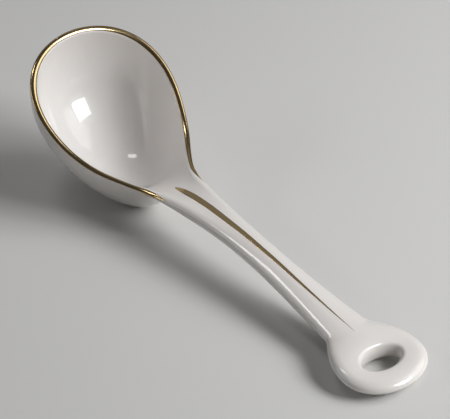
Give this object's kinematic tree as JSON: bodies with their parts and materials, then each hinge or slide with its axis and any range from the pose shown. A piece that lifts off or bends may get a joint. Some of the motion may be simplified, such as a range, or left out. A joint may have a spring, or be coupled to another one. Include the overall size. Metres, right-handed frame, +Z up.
{
  "type": "gravy ladle",
  "caption": "White china gravy ladle: deep egg-shaped bowl with a gold rim, slender curved handle with a gold stripe, rounded loop end with a hanging eye.",
  "frame": {"origin": "middle of the ladle's outline from above, on the surface it lies on", "axes": "+X along the handle toward the loop, the bowl at -X; +Y across; +Z up. The ladle is mirror-symmetric about Y = 0"},
  "size_m": [0.1858, 0.0582, 0.0526],
  "materials": {
    "china": "clear gloss glaze over white china",
    "gold": "fired gold, bright, slightly worn"
  },
  "bodies": {
    "root": {"ladle": "china", "rim_gilding": "gold", "stripe_gilding": "gold"}
  },
  "joints": []
}
